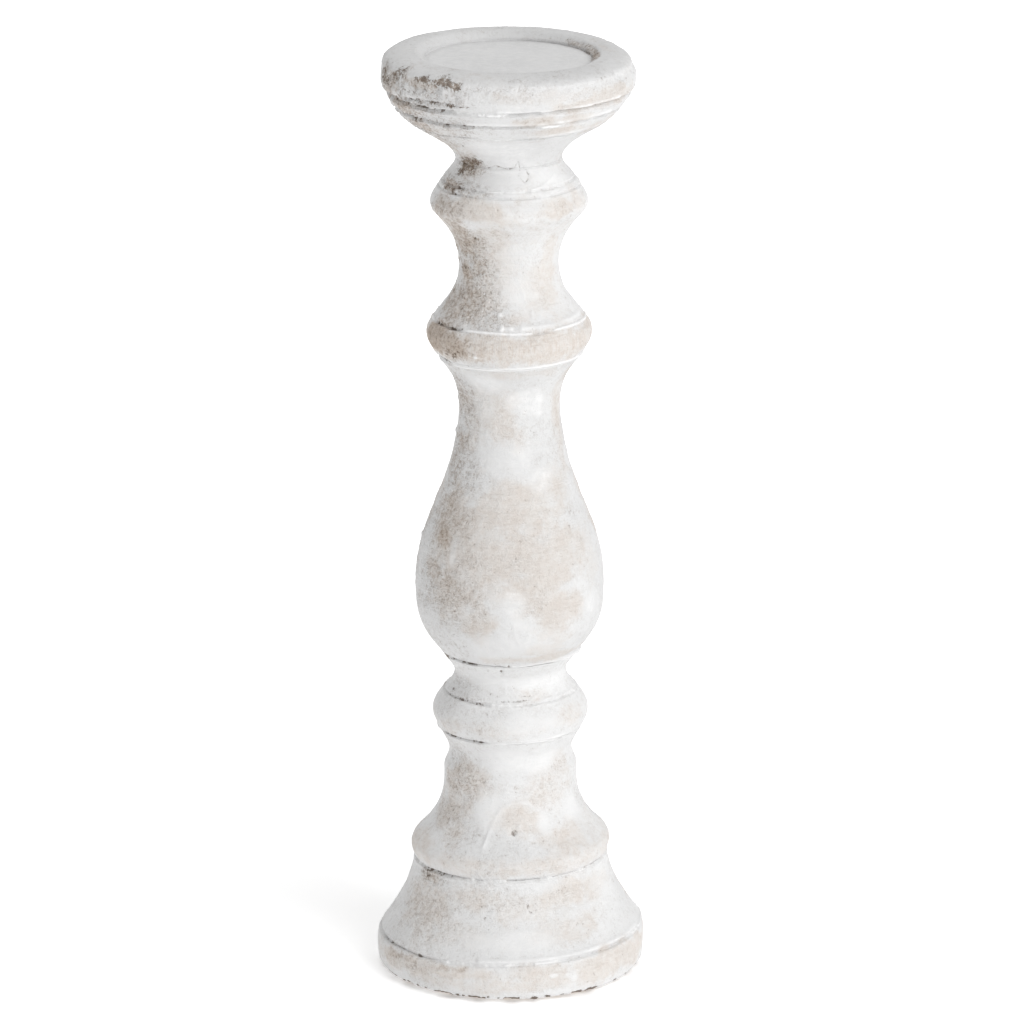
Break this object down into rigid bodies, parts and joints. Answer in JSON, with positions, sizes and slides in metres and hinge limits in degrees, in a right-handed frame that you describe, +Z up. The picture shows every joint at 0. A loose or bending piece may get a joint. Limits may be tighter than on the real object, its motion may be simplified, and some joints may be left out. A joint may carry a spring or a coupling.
{
  "type": "candlestick",
  "caption": "Tall turned wooden pillar candlestick with a wide candle pan, ringed stem, pear-shaped baluster and flared round foot, in a worn white painted finish.",
  "frame": {"origin": "centre of the foot, on the surface that the felt pads stand on", "axes": "+Z up along the axis of turning; X and Y are any two directions across it"},
  "size_m": [0.138, 0.138, 0.482],
  "materials": {
    "foot_paint": "chalky antique-white paint, rubbed through to brown wood, mottled beige and grey",
    "bell_paint": "chalky antique-white paint over turned wood, beige where it is rubbed thin",
    "knop_paint": "thick chalky white paint with dark cracks along its grooves",
    "baluster_paint": "chalky white paint with beige and grey mottling and fine brush lines",
    "spindle_paint": "white paint worn to tan wood on both rings, brown flecks on the spool",
    "pan_paint": "crumbled white paint over grey-brown wood, smoother and pale in the recess",
    "dowel_wood": "bare hardwood",
    "pad_felt": "pressed dark brown felt"
  },
  "bodies": {
    "root": {"base_foot": "foot_paint", "base_bell": "bell_paint", "lower_knop": "knop_paint", "baluster": "baluster_paint", "upper_spindle": "spindle_paint", "candle_pan": "pan_paint", "foot_dowel": "dowel_wood", "knop_dowel": "dowel_wood", "spindle_dowel": "dowel_wood", "pan_dowel": "dowel_wood", "felt_pad_1": "pad_felt", "felt_pad_2": "pad_felt", "felt_pad_3": "pad_felt", "felt_pad_4": "pad_felt"}
  },
  "joints": []
}
